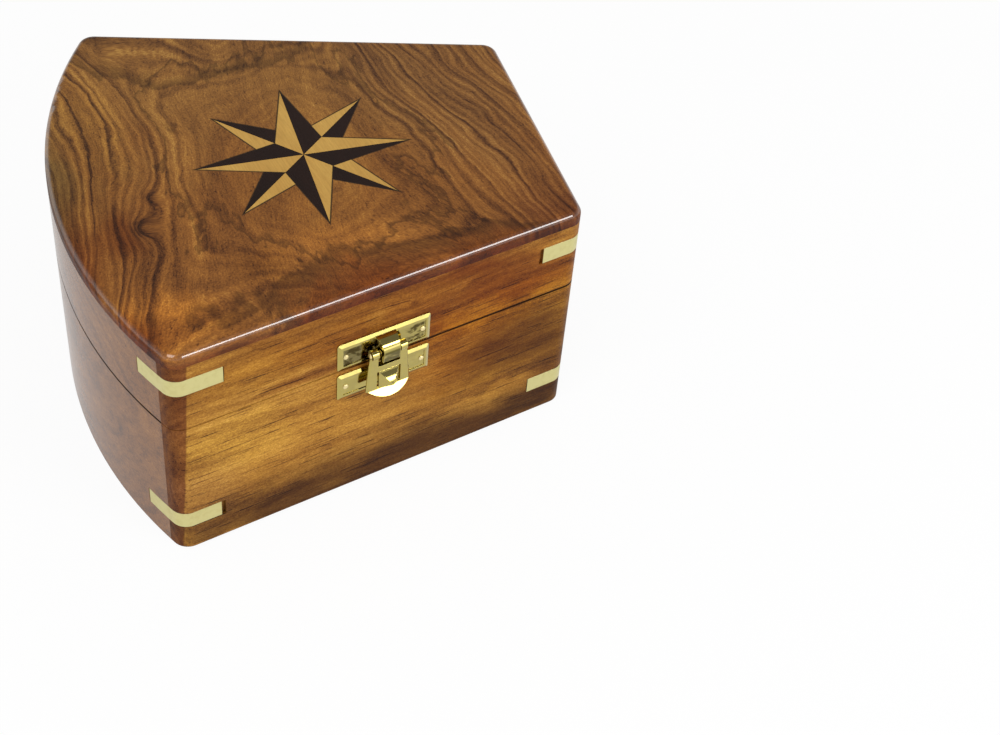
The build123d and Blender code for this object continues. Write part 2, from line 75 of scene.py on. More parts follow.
# The slanted back wall, read from the joint of the lid
HINGE_LINE = np.array(LID["pos_m"])
BACK_ALONG = np.array(LID["axis"])
BACK_OUT = np.array((BACK_ALONG[1], -BACK_ALONG[0], 0.0))

# Sizes of the case, in mm
TOP_LEVEL = 84.0
SEAM_LEVEL = 54.0
SIDE_RUN, WIDE_HALF, BOW = 142.0, 83.05, 22.6  # front wall, half the wide end, rise of its bow
WALL_FACE = 65.83  # from the middle of the case square to the face of a slanted wall
EDGE_RADIUS = 5.5  # of the upright edges
FELT_INSET = 6.3  # thickness of the walls and the play of the felt
STAR_X, STAR_RADIUS, STAR_WAIST = 1.1, 35.0, 10.9  # middle, tips and inner corners of the star


def shade(red, green, blue):
    """Linear colour of the display values 0 to 255."""
    return tuple(
        v / 12.92 if v <= 0.04045 else ((v + 0.055) / 1.055) ** 2.4
        for v in (red / 255, green / 255, blue / 255)
    )


# Tones of the boards from dark to light, and where they lie from 0 to 1
TONE_STOPS = (0.0, 0.28, 0.52, 0.76, 1.0)
TOP_DARKEST = (shade(36, 20, 12), shade(84, 48, 24))
FRONT_TONES = (
    shade(50, 27, 13), shade(100, 60, 25), shade(144, 95, 36), shade(178, 126, 50),
    shade(208, 158, 74),
)
END_TONES = (
    shade(46, 26, 15), shade(92, 55, 28), shade(130, 83, 40), shade(158, 106, 52),
    shade(184, 132, 70),
)

# Knots, in mm: place, reach and how far they push the grain aside
TOP_KNOTS = (
    ((-55.0, -24.0), (4.5, 6.5), 9.0),
    ((-50.0, -11.0), (3.0, 5.0), 4.0),
    ((-53.0, 70.0), (3.0, 5.0), 4.0),
)
FRONT_KNOTS = (((4.5, 71.0), (2.6, 1.8), 2.4),)

# Tinted patches of the top, in mm: middle and reach, both along the grain (Y) and across it (X),
# tint, and the width of a dark rim where there is one, as a share of the reach
TOP_PATCHES = (
    (10, 66, 95, 36, (0.88, 0.88, 0.98)),
    (55, 0, 75, 140, (1.08, 1.27, 1.45)),
    (10, -70, 55, 20, (1.10, 1.20, 1.18)),
    (32, -58, 30, 12, (1.32, 1.36, 1.20)),
    (-5, -77, 34, 9, (0.62, 0.70, 0.80)),
    (-48, 66, 22, 26, (0.58, 0.47, 0.54)),
    (-45, -1, 10, 26, (1.42, 1.42, 1.25)),
    (-69, -46, 16, 16, (1.66, 1.58, 1.10)),
    (-68, 20, 20, 58, (0.70, 0.48, 0.36), 0.05),
    (-26, -56, 12, 10, (0.72, 0.56, 0.50)),
    (-74, -60, 11, 20, (0.60, 0.42, 0.40)),
    (-40, -74, 34, 9, (0.66, 0.48, 0.44)),
    (66, -16, 20, 34, (0.90, 0.88, 0.90), 0.04),
    (-4, 0, 52, 36, (0.98, 0.98, 0.92)),
    (8, -2, 60, 42, (1.0, 0.98, 0.96), 0.012),
    (-50, -22, 14, 10, (0.86, 0.82, 0.72)),
    (0, -64, 80, 13, (0.86, 0.80, 0.78)),
)
# The foot of the top's round-over, all round it, tinted redder and darker: a painted dark
# reflection under the glint along its crest
TOP_FOOT_SHADE = ((0.0, 0.0, 78.5), (300.0, 300.0, 4.0), (0.56, 0.38, 0.34))
# Tinted patches of the front wall, in mm: middle and reach, both along it and up, and tint
FRONT_PATCHES = (
    (48, 35, 32, 18, (0.34, 0.27, 0.24)),
    (58, 14, 24, 18, (0.46, 0.38, 0.38)),
    (-2, 64, 22, 4, (0.72, 0.54, 0.46)),
    (22, 77, 22, 4, (0.70, 0.52, 0.46)),
    (8, 62, 46, 30, (0.94, 0.86, 0.72)),
    # this patch makes the wall darker towards its foot
    (4, 5, 92, 16, (0.22, 0.17, 0.18)),
    (24, 40, 30, 16, (0.80, 0.66, 0.50)),
    (-40, 36, 36, 18, (1.12, 1.14, 1.10)),
    (-60, 42, 24, 12, (1.22, 1.34, 1.30)),
    (-70, 22, 16, 16, (1.00, 1.03, 1.30)),
    (34, 56, 40, 9, (1.20, 1.12, 0.60)),
    (44, 34, 40, 30, (0.96, 0.90, 0.60)),
    # painted shade: the dark band under the top's round-over, carried onto the top of the front
    # wall
    (0, 84, 150, 7, (0.50, 0.32, 0.34)),
    (-10, 71, 90, 16, (0.72, 0.59, 0.46)),
    (44, 68, 40, 12, (0.68, 0.52, 0.44)),
    (-20, 57, 30, 3, (0.66, 0.52, 0.50)),
    (55, 77, 12, 6, (1.30, 1.50, 1.6)),
    (-9, 70, 4, 6, (1.15, 1.28, 1.5)),
    (-50, 67, 22, 9, (1.28, 1.36, 1.20)),
)
FRONT_ACROSS = -66.0  # where those patches lie across the grain
PATCH_DEPTH = 60.0  # their reach through a board


# ---------------------------------------------------------------- shader maths
class Number:
    """A value that changes over a surface.  Arithmetic on it adds Math nodes."""

    def __init__(self, finish, socket):
        self.finish = finish
        self.socket = socket

    def math(self, operation, *others):
        made = self.finish.node("Math", {"operation": operation}, dict(enumerate((self, *others))))
        return Number(self.finish, made.outputs[0])

    def __add__(self, other):
        return self.math("ADD", other)

    def __mul__(self, other):
        return self.math("MULTIPLY", other)

    def __sub__(self, other):
        return self.math("SUBTRACT", other)

    def __rsub__(self, other):
        return (self * -1.0).math("ADD", other)

    def __truediv__(self, other):
        return self.math("DIVIDE", other)

    def __pow__(self, other):
        return self.math("POWER", other)

    def __abs__(self):
        return self.math("ABSOLUTE")

    def least(self, other):
        return self.math("MINIMUM", other)

    def most(self, other):
        return self.math("MAXIMUM", other)

    def step(self, low, high):
        """0 at low and 1 at high, with a smooth rise between them (low may be the higher)."""
        values = {"Value": self, "From Min": low, "From Max": high}
        node = self.finish.node("MapRange", {"interpolation_type": "SMOOTHSTEP"}, values)
        return Number(self.finish, node.outputs[0])


class Nodes:
    """A node tree, emptied and filled again."""

    def __init__(self, tree):
        self.tree = tree
        tree.nodes.clear()

    def node(self, kind, settings, values):
        """A node of a type: its settings are made first, then its sockets get values or links."""
        made = self.tree.nodes.new("ShaderNode" + kind)
        for name, value in settings.items():
            if name == "stops":
                ramp = made.color_ramp
                while len(ramp.elements) < len(value):
                    ramp.elements.new(1.0)
                for element, (place, level) in zip(ramp.elements, value):
                    element.position = place
                    element.color = (*((level,) * 3 if isinstance(level, float) else level), 1.0)
            else:
                setattr(made, name, value)
        for name, value in values.items():
            self.join(value, made.inputs, name)
        return made

    def join(self, value, sockets, name):
        """Gives a value or a link to the socket with a place, an identifier or a name."""
        socket = sockets[name] if isinstance(name, int) else next(
            s for s in sockets if name in (s.identifier, s.name))
        if isinstance(value, Number):
            self.tree.links.new(value.socket, socket)
        elif isinstance(value, bpy.types.NodeSocket):
            self.tree.links.new(value, socket)
        elif socket.type == "RGBA" and len(value) == 3:
            socket.default_value = (*value, 1.0)
        else:
            socket.default_value = value

    def seen(self, *kinds):
        """1 on rays of the given kinds and 0 on others."""
        path = self.node("LightPath", {}, {})
        first, *others = (Number(self, path.outputs[f"Is {kind} Ray"]) for kind in kinds)
        for other in others:
            first = first.most(other)
        return first


class Finish(Nodes):
    """One material: a Principled shader and the nodes that feed it."""

    def __init__(self, name, shader):
        self.material = bpy.data.materials.new(name)
        self.material.use_nodes = True
        super().__init__(self.material.node_tree)
        self.shader = self.node("BsdfPrincipled", {}, shader)
        self.output = self.node("OutputMaterial", {}, {"Surface": self.shader.outputs[0]})
        self.coords = self.node("TexCoord", {}, {}).outputs["Object"]

    def feed(self, **values):
        """Links the shader's own sockets: base_color becomes Base Color."""
        for name, value in values.items():
            self.join(value, self.shader.inputs, name.replace("_", " ").title())

    def turned(self, angle):
        """Object coordinates in mm, turned by angle about Z, so that x runs along the grain."""
        values = {"Vector": self.coords, "Rotation": (0.0, 0.0, -angle), "Scale": (1 / MM,) * 3}
        return self.node("Mapping", {}, values).outputs[0]

    def parts(self, vector):
        """The x, y and z of a vector."""
        split = self.node("SeparateXYZ", {}, {"Vector": vector})
        return tuple(Number(self, split.outputs[k]) for k in range(3))

    def vector(self, x, y, z):
        return self.node("CombineXYZ", {}, {0: x, 1: y, 2: z}).outputs[0]

    def noise(self, vector, stretch, detail=2.0, seed=0.0, roughness=0.5):
        """Noise about 0.5 with stretch waves per mm along each axis."""
        shift = (seed, seed * 0.7, seed * 1.3)
        values = {0: self.times(vector, stretch), 1: shift}
        moved = self.node("VectorMath", {"operation": "ADD"}, values).outputs[0]
        values = {"Vector": moved, "Scale": 1.0, "Detail": detail, "Roughness": roughness}
        return Number(self, self.node("TexNoise", {}, values).outputs[0])

    def chance(self, number):
        """A random value from 0 to 1 for each whole number."""
        values = {"W": number.math("FLOOR")}
        made = self.node("TexWhiteNoise", {"noise_dimensions": "1D"}, values)
        return Number(self, made.outputs[0])

    def ramp(self, value, stops):
        """A number or a colour read off a ramp of (place, level) or (place, (r, g, b)) stops."""
        read = self.node("ValToRGB", {"stops": stops}, {"Fac": value}).outputs[0]
        return Number(self, read) if isinstance(stops[0][1], float) else read

    def mix(self, share, first, second):
        """A share of the second colour mixed into the first."""
        settings = {"data_type": "RGBA", "blend_type": "MIX", "clamp_result": False}
        values = {"Factor_Float": share, "A_Color": first, "B_Color": second}
        made = self.node("Mix", settings, values)
        return next(s for s in made.outputs if s.identifier == "Result_Color")

    def times(self, first, second):
        """Two colours or vectors multiplied channel by channel."""
        values = {0: first, 1: second}
        return self.node("VectorMath", {"operation": "MULTIPLY"}, values).outputs[0]

    def brighten(self, colour, factor):
        """Colour times a number that changes over the surface."""
        return self.times(colour, self.vector(factor, factor, factor))

    def bump(self, height, distance, edge=None):
        """Bump of a height, over soft edges of the given radius."""
        values = {"Height": height, "Distance": distance, "Strength": 1.0}
        if edge:
            values["Normal"] = self.node("Bevel", {"samples": 6}, {"Radius": edge}).outputs[0]
        self.feed(normal=self.node("Bump", {}, values).outputs[0])


# ---------------------------------------------------------------- meshes
def grid_faces(rows, columns, first=0, close_rows=False, flip=False):
    """Quads of a grid of rows x columns points, numbered row by row from first."""
    last_row = rows if close_rows else rows - 1
    i, j = np.meshgrid(np.arange(last_row), np.arange(columns - 1), indexing="ij")
    a = i * columns + j
    b = ((i + 1) % rows) * columns + j
    quads = np.stack([a, b, b + 1, a + 1], -1).reshape(-1, 4) + first
    return quads[:, ::-1] if flip else quads


def slab(front, back):
    """Two grids of points back to back, closed along their border.

    Returns the points, the faces and the numbers of the front's border points in order.
    """
    rows, columns = front.shape[:2]
    count = rows * columns
    faces = [*grid_faces(rows, columns).tolist(),
             *grid_faces(rows, columns, count, flip=True).tolist()]
    border = np.concatenate([
        np.arange(columns), np.arange(1, rows) * columns + columns - 1,
        (rows - 1) * columns + np.arange(columns - 2, -1, -1), np.arange(rows - 2, 0, -1) * columns,
    ])
    after = np.roll(border, -1)
    faces += np.stack([border, after, after + count, border + count], -1).tolist()
    return np.vstack([front.reshape(-1, 3), back.reshape(-1, 3)]), faces, border


def turned_form(profile, centre, axis, side, sides=48):
    """Surface of revolution: (a, r) goes to centre + a axis + r (cos t side + sin t other).

    The profile runs from one pole (r = 0) to the other; each pole is one shared point.
    """
    profile = np.asarray(profile, float)
    other = np.cross(axis, side)
    t = np.linspace(0, 2 * pi, sides, endpoint=False)
    ring = np.cos(t)[:, None] * side + np.sin(t)[:, None] * other
    body = profile[1:-1]
    points = centre + body[None, :, :1] * axis + body[None, :, 1:] * ring[:, None, :]
    columns = len(body)
    poles = [centre + profile[0, 0] * axis, centre + profile[-1, 0] * axis]
    faces = grid_faces(sides, columns, close_rows=True).tolist()
    start, end = sides * columns, sides * columns + 1
    here = np.arange(sides) * columns
    after = np.roll(here, -1)
    last = columns - 1
    faces += np.stack([np.full(sides, start), after, here], -1).tolist()
    faces += np.stack([np.full(sides, end), here + last, after + last], -1).tolist()
    return np.vstack([points.reshape(-1, 3), *poles]), faces


def joined(forms):
    """Several (points, faces) as one."""
    points, faces, count = [], [], 0
    for form_points, form_faces in forms:
        points.append(form_points)
        faces += [[index + count for index in face] for face in form_faces]
        count += len(form_points)
    return np.vstack(points), faces


def make_piece(name, points, faces, body, slot, material, replaces=()):
    """A smooth closed mesh piece in place, its faces pointed outwards, riding on a body."""
    mesh = bpy.data.meshes.new(name)
    mesh.from_pydata(points.tolist(), [], faces)
    shape = bmesh.new()
    shape.from_mesh(mesh)
    bmesh.ops.recalc_face_normals(shape, faces=shape.faces)
    shape.to_mesh(mesh)
    shape.free()
    mesh.shade_smooth()
    piece = bpy.data.objects.new(name, mesh)
    bpy.context.scene.collection.objects.link(piece)
    mesh.materials.append(material)
    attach(piece, body)
    if replaces:
        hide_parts(*replaces)
    return piece


# ---------------------------------------------------------------- shape of the case
def plan_outline(inset):
    """Plan of the case moved inwards by inset, in mm.

    Returns the bowed end's half angle, its centre and radius, and the narrow end's place along X
    and its half width.  The corner is where the slanted wall's line meets the bow's circle.
    """
    reach = SIDE_RUN * cos(TAPER) + BOW
    radius = (WIDE_HALF**2 + BOW**2) / (2 * BOW)
    centre = radius - reach / 2
    narrow = reach / 2 - inset
    inwards = np.array((sin(TAPER), cos(TAPER)))
    start = np.array((BOW - reach / 2, WIDE_HALF)) - inset * inwards
    direction = np.array((cos(TAPER), -sin(TAPER)))
    narrow_half = start[1] - (narrow - start[0]) * tan(TAPER)
    off = start - (centre, 0.0)
    along = off @ direction
    reach_back = -along - sqrt(along**2 - (off @ off - (radius - inset) ** 2))
    corner = start + direction * reach_back
    half_angle = float(np.arctan2(corner[1], centre - corner[0]))
    return half_angle, centre, radius - inset, narrow, narrow_half


def depth_inside(x, y):
    """Depth in mm under the outer faces of the walls, with their rounded upright edges.

    a is the depth under a slanted wall and b the depth under an end:
    depth = r - sqrt(max(r - a, 0)^2 + max(r - b, 0)^2), where r is the radius of the edges.
    """
    _, centre, radius, narrow, _ = plan_outline(0.0)
    slanted = (x * -sin(TAPER) - abs(y) * cos(TAPER)) + WALL_FACE
    bowed = (((x - centre) ** 2.0 + y**2.0) ** 0.5) * -1.0 + radius
    end = (x * -1.0 + narrow).least(bowed)
    off = (EDGE_RADIUS - slanted).most(0.0) ** 2.0 + (EDGE_RADIUS - end).most(0.0) ** 2.0
    return EDGE_RADIUS - off**0.5


def star_distances(x, y):
    """Signed distances in mm from the edges of the four main rays and of the four between them.

    The plane is folded so that every ray lies on +x: a point becomes (larger, smaller) of |x|, |y|,
    and its distance is measured from the line between the ray's tip and its waist corner.
    """
    w = STAR_WAIST / sqrt(2)
    length = sqrt((STAR_RADIUS - w) ** 2 + w**2)

    def from_edge(a, b):
        big, small = abs(a).most(abs(b)), abs(a).least(abs(b))
        return ((big - STAR_RADIUS) * w + small * (STAR_RADIUS - w)) / length

    x = x - STAR_X
    return from_edge(x, y), from_edge((x + y) / sqrt(2), (y - x) / sqrt(2))


# ---------------------------------------------------------------- wood
def knotted(across, place, knots):
    """Grain bent round knots: each pushes it aside by a hill, height / (1 + (x/rx)^2 + (y/ry)^2).

    Returns the bent coordinate and the eyes, 1 in the middle of a knot.
    """
    eyes = 0.0
    for (x, y), (reach_x, reach_y), height in knots:
        off = ((place[0] - x) / reach_x) ** 2.0 + ((place[1] - y) / reach_y) ** 2.0
        hill = (off + 1.0) ** -1.0
        across = across + hill * height
        eyes = hill.step(0.45, 1.0) + eyes
    return across, eyes


def top_figure(finish):
    """Figure of the lid's top board, in mm from its middle, with the grain along Y.

    The lines lean on the right, follow the bow on the left and close into ovals round the middle:
    distance = sqrt(across^2 + (0.72 (y + 1))^2 w), where w falls from 1 to 0 away from the middle.
    """
    x, y, z = finish.parts(finish.turned(0.0))
    lean = y * 0.30 * x.step(2.0, 42.0)
    bow = y**2.0 * 0.0024 * x.step(-25.0, -60.0)
    across, eyes = knotted(x + lean + bow, (x, y), TOP_KNOTS)
    wander = finish.noise(finish.vector(y, across, z), (0.02, 0.035, 0.02), 2.0, 14.0) - 0.5
    across = across + wander * 16.0
    oval = abs(across).step(50.0, 12.0)
    distance = (across**2.0 + ((y + 1.0) * 0.72) ** 2.0 * oval) ** 0.5
    calm = (distance * 0.6 + abs(across) * 0.4).step(24.0, 44.0)
    return (y, across, z), distance, calm * 0.7 + 0.3, eyes


def board_figure(finish, grain, heart, slope=0.0, knots=()):
    """Figure of a plain board with rings round a far heart.

    grain is its angle about Z, heart is (across, up) from the middle of the case, in mm, and the
    rings climb by slope along the grain.
    """
    along, across, up = finish.parts(finish.turned(grain))
    up, eyes = knotted(up + along * slope, (along, up), knots)
    distance = ((across - heart[0]) ** 2.0 + (up - heart[1]) ** 2.0) ** 0.5
    return (along, across, up), distance, 1.0, eyes


def tinted(finish, colour, place, patches, waver, dark):
    """Colour multiplied by the tints of patches, which fade out with uneven borders.

    A patch is its middle and its reach, both along, across and up, in mm, its tint, and the width
    of a rim of the dark colour if it has one, as a share of the reach.  off is 0 in its middle
    and 1 at its reach: sqrt(sum of ((place - middle) / reach)^2), plus waver.
    """
    for middle, reach, tint, *rim in patches:
        x, y, z = (((p - m) / r) ** 2.0 for p, m, r in zip(place, middle, reach))
        off = (x + y + z) ** 0.5 + waver
        colour = finish.times(colour, finish.mix(off.step(1.25, 0.25), WHITE, tint))
        for width in rim:
            line = off.step(1.0 + width * 2.0, 1.0) * off.step(1.0 - 8.0 * width, 1.0)
            colour = finish.mix(line * 0.45, colour, dark)
    return colour


def rosewood(name, figure, tones, seed, spacing, lacquer, level=0.55, lines=0.4, bands=0.5,
             band_width=0.05, streaky=0.72, fineness=1.5, wild=1.0, pore=(0.07, 2.4, 0.45),
             patches=(), strip=None, open_from=-200.0, star=False):
    """A lacquered rosewood board.

    figure gives the coordinates along and across the grain and upwards, the distance from the
    heart that the growth lines follow, how strongly they show, and the eyes of the knots.
    tones are the colours from dark to light that one number runs through: level, plus streaks,
    fibres, flecks and fine lines, less growth lines, pores and knots.

    spacing is the distance of the growth lines in mm, lines their strength and wild how much
    they wander.  bands, band_width and streaky are the strength of the streaks, their waves per
    mm across the grain and their roughness, and fineness is the waves per mm of the fibres.
    pore is the waves per mm of the pores along and across the grain, and their strength.

    The board is dark before strip, on a slightly leaning line, and the painted shade of the gap
    between base and lid starts at open_from, both in mm along the grain.  star adds the line of
    glue round the inlay and the glint along the crest of the round-over.
    """
    finish = Finish(name, {
        "Roughness": 0.5, "Specular IOR Level": 0.05, "Coat Roughness": 0.05,
        "Coat IOR": 1.75 if star else 1.45, "Coat Weight": lacquer,
    })
    (along, across, up), distance, show, eyes = figure(finish)
    wood = finish.vector(along, across, up)
    broad = finish.noise(wood, (0.012, 0.03, 0.03), 2.0, seed) - 0.5
    wavy = finish.noise(wood, (0.05, 0.11, 0.11), 3.0, seed + 3.1, 0.6) - 0.5
    curl = finish.noise(wood, (0.30, 0.55, 0.55), 3.0, seed + 5.7, 0.6) - 0.5
    distance = distance + broad * 14.0 + wavy * (1.4 - show) * (7.0 * wild) + curl * (1.2 * wild)

    # Growth lines: each year rises slowly to its dark late wood, and the years differ in strength
    years = distance / spacing + (distance / (spacing * 2.3)).math("SINE") * 0.45
    ring = finish.ramp(years.math("FRACT"), [
        (0.0, 0.55), (0.12, 0.12), (0.30, 0.0), (0.66, 0.34), (0.88, 1.0), (1.0, 0.55)])
    ring = ring * (finish.chance(years) ** 2.0 * 0.9 + 0.2) * show
    ring = ring * finish.noise(wood, (0.02, 0.10, 0.10), 2.0, seed + 9.0).step(0.22, 0.52)
    faint = finish.noise(wood, (0.02, 0.2, 0.2), 1.0, seed + 8.0)
    fine = (distance * 2.3 + wavy * 6.0).math("SINE") * faint

    streaks = finish.noise(wood, (0.012, band_width, band_width), 5.0, seed + 12.0, streaky) - 0.5
    fibre = finish.noise(wood, (0.13, fineness, fineness), 3.0, seed + 2.0, 0.7) - 0.5
    fleck = finish.noise(wood, (1.5, 2.2, 2.2), 2.0, seed + 4.0, 0.7) - 0.5
    pore_along, pore_across, pore_strength = pore
    pores = finish.noise(wood, (pore_along, pore_across, pore_across), 1.0, seed + 7.0)
    pores = pores.step(0.655, 0.695)
    tone = (streaks * bands + fibre * 0.45 + fleck * 0.75 + fine * (show * lines * 0.4)
            - ring * lines - pores * pore_strength - eyes * 0.25 + level)
    colour = finish.ramp(tone, list(zip(TONE_STOPS, tones)))
    waver = wavy + broad * 0.9
    colour = tinted(finish, colour, (along, across, up), patches, waver, tones[0])
    if strip:
        dark = finish.times(colour, (0.48, 0.34, 0.44))
        edge = (along - up * 0.06 + wavy * 1.2).step(strip + 0.3, strip - 0.3)
        colour = finish.mix(edge, colour, dark)

    # Painted shade in the gap between base and lid: a dark line on the outer faces only, where the
    # lacquer is left off as well
    x, y, z = finish.parts(finish.turned(0.0))
    seam_shade = abs(z - SEAM_LEVEL).step(0.62, 0.3) * along.step(open_from - 8.0, open_from + 8.0)
    seam_shade = seam_shade * depth_inside(x, y).step(0.8, 0.3)
    colour = finish.mix(seam_shade * 0.9, colour, shade(22, 11, 6))
    if star:
        main, between = star_distances(x, y)
        glue = main.least(between) + curl * 0.25
        colour = finish.mix(glue.step(0.55, 0.12) * 0.85, colour, shade(34, 28, 18))
        crest = z.step(TOP_LEVEL - 0.2, TOP_LEVEL - 0.6) * z.step(TOP_LEVEL - 1.8, TOP_LEVEL - 1.3)
        flat = z.step(TOP_LEVEL - 2.2, TOP_LEVEL - 0.1)
        coat = crest * (1.0 - lacquer * 0.5) + flat * (lacquer * 0.25) + lacquer * 0.25
    else:
        coat = (1.0 - seam_shade) * lacquer
    finish.feed(base_color=colour, coat_weight=coat)
    peel = finish.noise(finish.coords, (220.0, 220.0, 220.0), 1.0, seed)
    finish.bump(fibre * 0.4 - pores * 0.4 + peel * 0.8, 0.00003, edge=0.00028)
    return finish.material


def inlay_finish(name, tone, dark, seed, outline):
    """Fine straight-grained inlay under the lacquer.

    outline adds a thin dark line of glue along the edges of the rays.
    """
    finish = Finish(name, {
        "Roughness": 0.4, "Specular IOR Level": 0.05, "Coat Roughness": 0.05, "Coat IOR": 1.45,
        "Coat Weight": bpy.context.scene.case_looks.lacquer,
    })
    wood = finish.turned(radians(100))
    fibre = finish.noise(wood, (0.12, 1.6, 1.6), 4.0, seed, 0.6)
    broad = finish.noise(wood, (0.05, 0.14, 0.14), 2.0, seed + 4)
    flecks = finish.noise(wood, (0.5, 2.8, 2.8), 1.0, seed + 2).step(0.58, 0.7)
    colour = finish.mix((broad - 0.3) * 0.9, tone, dark)
    colour = finish.brighten(colour, (fibre - 0.5) * 0.55 + 1.0)
    colour = finish.mix(flecks * 0.18, colour, dark)
    if outline:
        x, y, _ = finish.parts(finish.turned(0.0))
        main, between = star_distances(x, y)
        edge = abs(main).least(abs(between) + main.step(0.05, -0.05) * 9.0)
        colour = finish.mix(edge.step(0.30, 0.05) * 0.8, colour, shade(60, 52, 26))
    finish.feed(base_color=colour)
    finish.bump(fibre, 0.00002, edge=0.0001)
    return finish.material


# ---------------------------------------------------------------- brass and felt
def latch_wear_and_shade(finish, place, colour, relief):
    """Stains and painted shade on the latch, and the hollow upper side of its beak.

    Places are in mm: along the wall from the latch's middle, out of the wall from the hasp's pin,
    and up.  Returns the colour, the relief, and the share of stains and painted shade, 0 to 1.
    """
    upper_level, hood_level, beak_middle = 59.5, 57.8, 48.2
    along, across, up = finish.parts(finish.turned(TAPER))
    along = along - float(PIVOT @ ALONG) / MM
    out = (across + float(PIVOT @ OUT) / MM) * -1.0

    # Olive tarnish and painted shade (a dark reflection) over the upper plate, darkest left of the
    # hood, and dark blots round its pins, fainter on the lower one
    ends = abs(along).step(6.5, 9.5) * abs(along).step(14.6, 13.6)
    upper = abs(up - upper_level).step(3.5, 3.0) * out.step(-0.9, -1.3)
    blots = finish.noise(place, (0.28, 0.28, 0.5), 3.0, 9.4, 0.65).step(0.42, 0.58)
    blots = blots * ends * (upper * 0.8 + 0.1)
    tarnish_and_shade = upper * (along.step(4.0, -7.0) * 0.6 + 0.2) * abs(along).step(14.7, 14.2)
    colour = finish.mix(tarnish_and_shade, colour, (0.13, 0.10, 0.03))
    colour = finish.mix(blots, colour, (0.055, 0.036, 0.006))

    # Painted shade on the front of the hood: a mottled dark band, standing in for a dark reflection
    hood = abs(up - hood_level).step(3.2, 2.4) * out.step(1.9, 2.3) * abs(along).step(3.1, 2.4)
    painted_hood_shade = hood * finish.noise(place, (0.25, 0.25, 0.6), 2.0, 3.4).step(0.25, 0.55)
    colour = finish.mix(painted_hood_shade * 0.85, colour, (0.09, 0.075, 0.025))

    on_beak = abs(along).step(3.6, 3.2) * out.step(1.0, 1.3) * up.step(52.0, 51.8)
    hollow = (up - beak_middle).most(0.0) * on_beak
    return colour, relief - hollow * hollow * 4.0, blots.most(painted_hood_shade)


def brass_finish(name, tone, dull, roughness, scale, brush, coat=0.0, latch=False):
    """Brass with soft edges and faint dull blotches, scale of them per mm, brushed along X."""
    finish = Finish(name, {"Metallic": 1.0, "Coat Roughness": 0.03})
    place = finish.turned(0.0)
    blotch = finish.noise(place, (scale, scale, scale), 3.0, 1.7)
    brushed = finish.noise(place, (0.25, 9.0, 9.0), 2.0, 3.3)
    colour = finish.mix(blotch.step(0.42, 0.75) * 0.45, tone, dull)
    waves = finish.noise(place, (0.16, 0.16, 0.16), 1.0, 6.1)
    relief = brushed * brush + waves * 1.5
    stain_and_shade = 0.0
    if latch:
        colour, relief, stain_and_shade = latch_wear_and_shade(finish, place, colour, relief)
    finish.feed(
        base_color=colour, coat_weight=(1.0 - stain_and_shade) * coat,
        roughness=blotch * (roughness * 0.7) + brushed * (brush * 0.25) + roughness * 0.6,
    )
    finish.bump(relief, 0.00002, edge=0.00012)
    return finish.material


def felt_finish(name, tone):
    """Wool felt: a fuzzy nap of short crossing fibres with a soft sheen."""
    finish = Finish(name, {
        "Roughness": 0.95, "Specular IOR Level": 0.1, "Sheen Weight": 0.35,
        "Sheen Roughness": 0.5, "Sheen Tint": (1.0, 0.75, 0.75, 1.0),
    })
    place = finish.turned(0.0)
    nap = finish.noise(place, (3.5, 3.5, 3.5), 4.0, 2.0, 0.7)
    crossing = (finish.noise(place, (0.8, 5.0, 5.0), 3.0, 5.0)
                + finish.noise(place, (5.0, 0.8, 5.0), 3.0, 8.0))
    cloud = finish.noise(place, (0.05, 0.05, 0.05), 3.0, 4.0)
    colour = finish.brighten(tone, (nap - 0.5) * 0.9 + (cloud - 0.5) * 0.5 + 1.0)
    finish.feed(base_color=colour)
    finish.bump(nap + crossing * 0.5, 0.0003)
    return finish.material


def dress(material, *nodes):
    """Puts a material in the slots of CAD nodes."""
    for name in nodes:
        mesh = frame["nodes"][name].data
        mesh.materials.clear()
        mesh.materials.append(material)


# ---------------------------------------------------------------- settings
class CaseLooks(bpy.types.PropertyGroup):
    """Colours and finish of the case."""

    wood_light: bpy.props.FloatVectorProperty(
        name="Light wood", description="Lightest tone of the top board", subtype="COLOR", size=3,
        min=0.0, max=1.0, default=shade(196, 138, 64))
    wood_middle: bpy.props.FloatVectorProperty(
        name="Middle wood", description="Middle tone of the top board", subtype="COLOR", size=3,
        min=0.0, max=1.0, default=shade(158, 102, 46))
    wood_dark: bpy.props.FloatVectorProperty(
        name="Dark wood", description="Darker tone of the top board", subtype="COLOR", size=3,
        min=0.0, max=1.0, default=shade(126, 78, 36))
    inlay_light: bpy.props.FloatVectorProperty(
        name="Light inlay", description="Light half of each ray", subtype="COLOR", size=3,
        min=0.0, max=1.0, default=shade(208, 164, 84))
    inlay_dark: bpy.props.FloatVectorProperty(
        name="Dark inlay", description="Dark half of each ray", subtype="COLOR", size=3,
        min=0.0, max=1.0, default=shade(38, 21, 14))
    strap: bpy.props.FloatVectorProperty(
        name="Strap brass", description="Brass of the corner straps", subtype="COLOR", size=3,
        min=0.0, max=1.0, default=(0.70, 0.64, 0.29))
    latch: bpy.props.FloatVectorProperty(
        name="Latch brass", description="Polished brass of the latch", subtype="COLOR", size=3,
        min=0.0, max=1.0, default=(0.48, 0.395, 0.105))
    felt: bpy.props.FloatVectorProperty(
        name="Felt", description="Felt of the lining", subtype="COLOR", size=3,
        min=0.0, max=1.0, default=shade(110, 16, 24))
    lacquer: bpy.props.FloatProperty(
        name="Lacquer", description="Weight of the clear coat", subtype="FACTOR",
        min=0.0, max=1.0, default=0.5)


